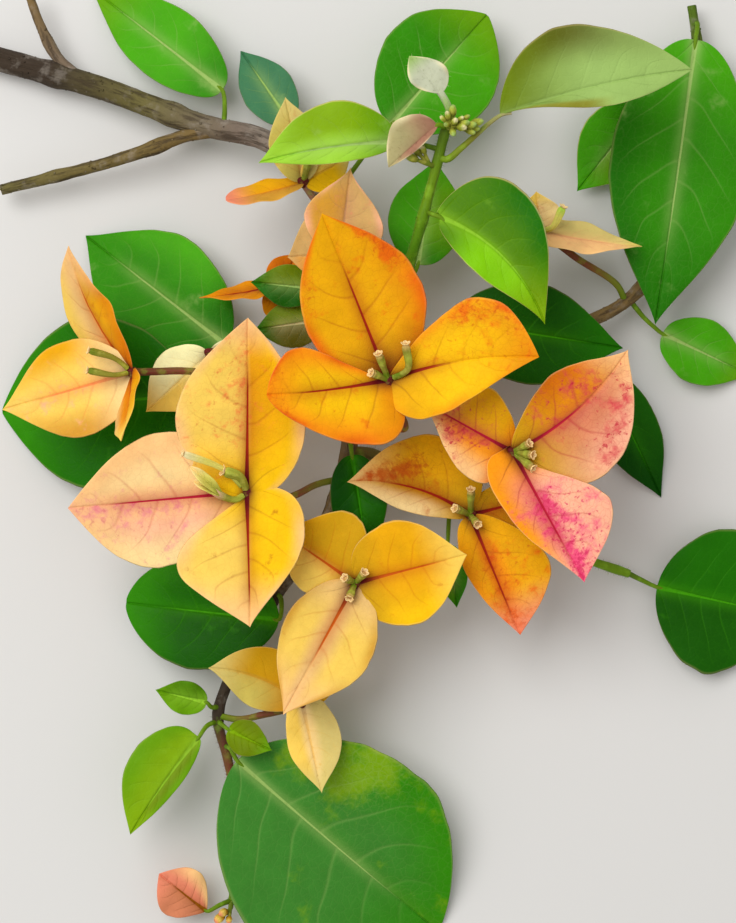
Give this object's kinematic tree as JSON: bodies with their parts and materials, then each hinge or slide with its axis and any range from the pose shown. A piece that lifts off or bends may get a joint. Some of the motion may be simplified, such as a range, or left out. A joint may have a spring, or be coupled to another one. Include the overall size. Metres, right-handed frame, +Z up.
{
  "type": "cut bougainvillea branch",
  "caption": "Cut flowering branch of bougainvillea, lying flat: a woody stem with side shoots, green leaves and blooms of papery yellow, orange and pink bracts round slim flower tubes.",
  "frame": {"origin": "on the floor, under the middle of the branch's box", "axes": "+Z up, the way the blooms face as the branch lies; +Y from the young tip, at -Y, towards the top; the cut end is at -X and +Y"},
  "size_m": [0.1566, 0.1836, 0.0373],
  "materials": {
    "bark": "rough grey-brown bark",
    "young_stem": "smooth green shoot, reddish in places",
    "bract_yellow": "thin papery bract, red veins",
    "bract_orange": "thin papery bract, deep orange",
    "bract_pink": "thin papery bract, magenta flush",
    "bract_olive": "thin papery bract, olive yellow",
    "bract_golden": "thin papery bract, golden yellow",
    "bract_amber": "thin papery bract, amber",
    "bract_peach": "thin papery bract, peach",
    "bract_pale": "thin papery bract, pale yellow",
    "leaf_young": "satin young leaf",
    "leaf_lime": "satin lime leaf",
    "leaf_olive": "satin olive leaf",
    "leaf_mature": "satin green leaf",
    "leaf_dark": "satin dark green leaf",
    "leaf_bud": "downy unopened leaf",
    "leaf_red": "thin reddish young leaf",
    "bud": "small green bud"
  },
  "bodies": {
    "root": {"branch_woody": "bark", "branch_middle": "bark", "branch_lower": "bark", "branch_tip": "young_stem", "shoot_upper": "young_stem", "shoot_left": "young_stem", "shoot_right": "bark", "shoot_lower_right": "young_stem", "twig_top": "bark", "twig_left": "bark", "bloom_big_yellow": "bract_yellow", "bloom_orange": "bract_orange", "bloom_pink": "bract_pink", "bloom_olive": "bract_olive", "bloom_golden": "bract_golden", "bloom_side_left": "bract_amber", "bloom_small_lower": "bract_pale", "bloom_peach_back": "bract_peach", "bloom_peach_middle": "bract_peach", "bloom_orange_back": "bract_amber", "bloom_pale_left": "bract_pale", "bloom_side_right": "bract_peach", "leaf_top_left": "leaf_young", "leaf_top_right": "leaf_young", "leaf_top_far_right": "leaf_olive", "leaf_bud_white": "leaf_bud", "leaf_bud_tan": "leaf_bud", "leaf_lime_big": "leaf_lime", "leaf_lime_small": "leaf_lime", "leaf_olive_small": "leaf_olive", "leaf_big_bottom": "leaf_mature", "leaf_dark_left": "leaf_dark", "leaf_dark_upper": "leaf_dark", "leaf_dark_lower": "leaf_dark", "leaf_back_left": "leaf_mature", "leaf_back_far_left": "leaf_dark", "leaf_back_top": "leaf_mature", "leaf_back_top_left": "leaf_mature", "leaf_back_blue": "leaf_dark", "leaf_right_huge": "leaf_mature", "leaf_right_light": "leaf_young", "leaf_right_dark": "leaf_dark", "leaf_right_edge": "leaf_mature", "leaf_right_round": "leaf_mature", "leaf_behind_orange": "leaf_dark", "leaf_dark_middle": "leaf_dark", "leaf_sliver": "leaf_mature", "leaf_behind_shoot": "leaf_mature", "leaf_bottom_red": "leaf_red", "buds_top": "bud", "buds_side": "bud", "buds_bottom": "bud"}
  },
  "joints": []
}
